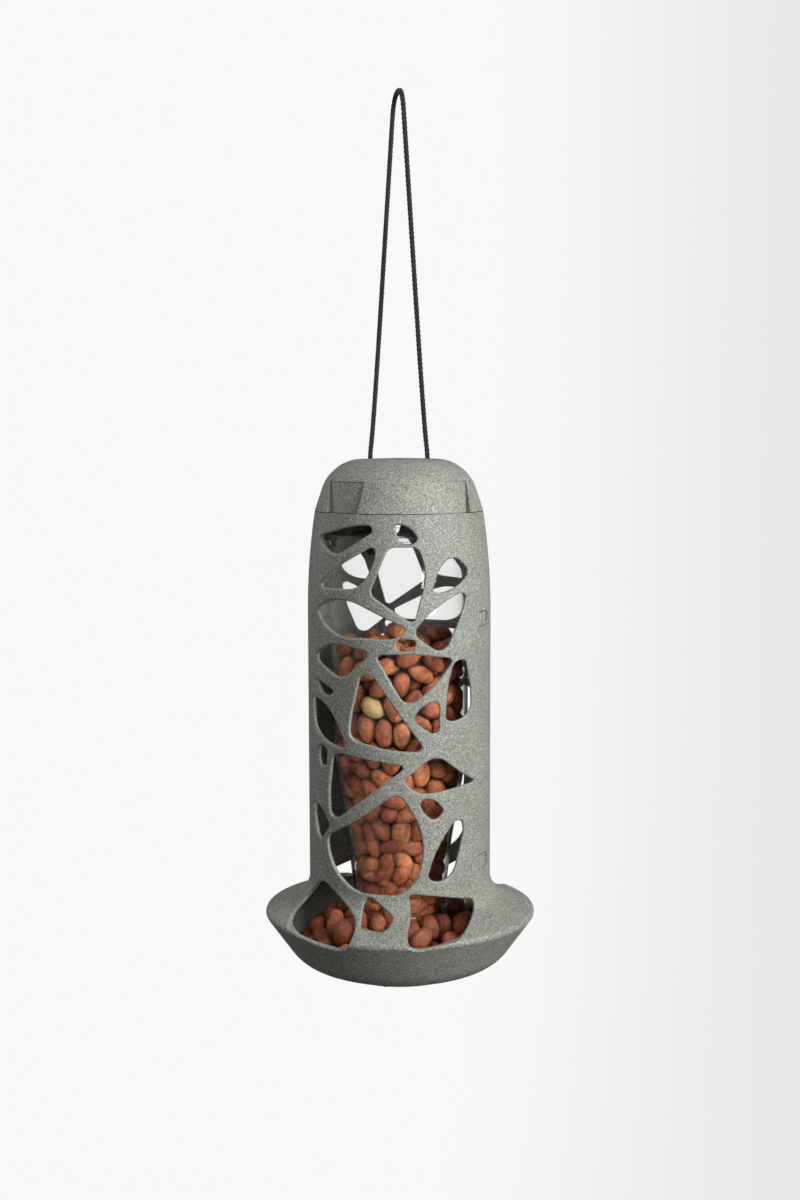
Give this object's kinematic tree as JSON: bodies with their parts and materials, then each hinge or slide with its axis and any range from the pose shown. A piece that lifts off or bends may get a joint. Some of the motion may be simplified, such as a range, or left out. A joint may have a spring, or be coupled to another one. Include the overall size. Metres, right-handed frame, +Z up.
{
  "type": "hanging bird feeder",
  "caption": "Hanging peanut feeder: a tube with organic windows on a saucer tray, a clear inner container of nuts, a domed cap that slides up, and a cord loop.",
  "frame": {"origin": "the hanging point: the inside top of the cord loop, where it rests on a branch or hook; it is on the feeder's axis", "axes": "+Z up along the feeder's axis; -Y towards the middle of the front half moulding; the seams between the halves lie in the plane Y = 0"},
  "size_m": [0.1364, 0.1364, 0.4402],
  "materials": {
    "recycled_plastic": "matte grey-green recycled plastic with a fine light and dark speckle",
    "clear_plastic": "clear glossy plastic",
    "black_cord": "black braided cord",
    "peanut_skin": "dry reddish-brown peanut skins"
  },
  "bodies": {
    "feeder": {"front_shell": "recycled_plastic", "rear_shell": "recycled_plastic", "feed_container": "clear_plastic", "hanger_bar": "clear_plastic", "hanging_cord": "black_cord", "knot_left": "black_cord", "knot_right": "black_cord", "nut_column": "peanut_skin", "nut_bed": "peanut_skin"},
    "cap": {"cap": "recycled_plastic"}
  },
  "joints": [
    {"name": "cap_lift", "type": "slide", "parent": "feeder", "child": "cap", "axis": [0, 0, 1], "range_m": [0, 0.06], "deforming": ["hanging_cord"]}
  ]
}
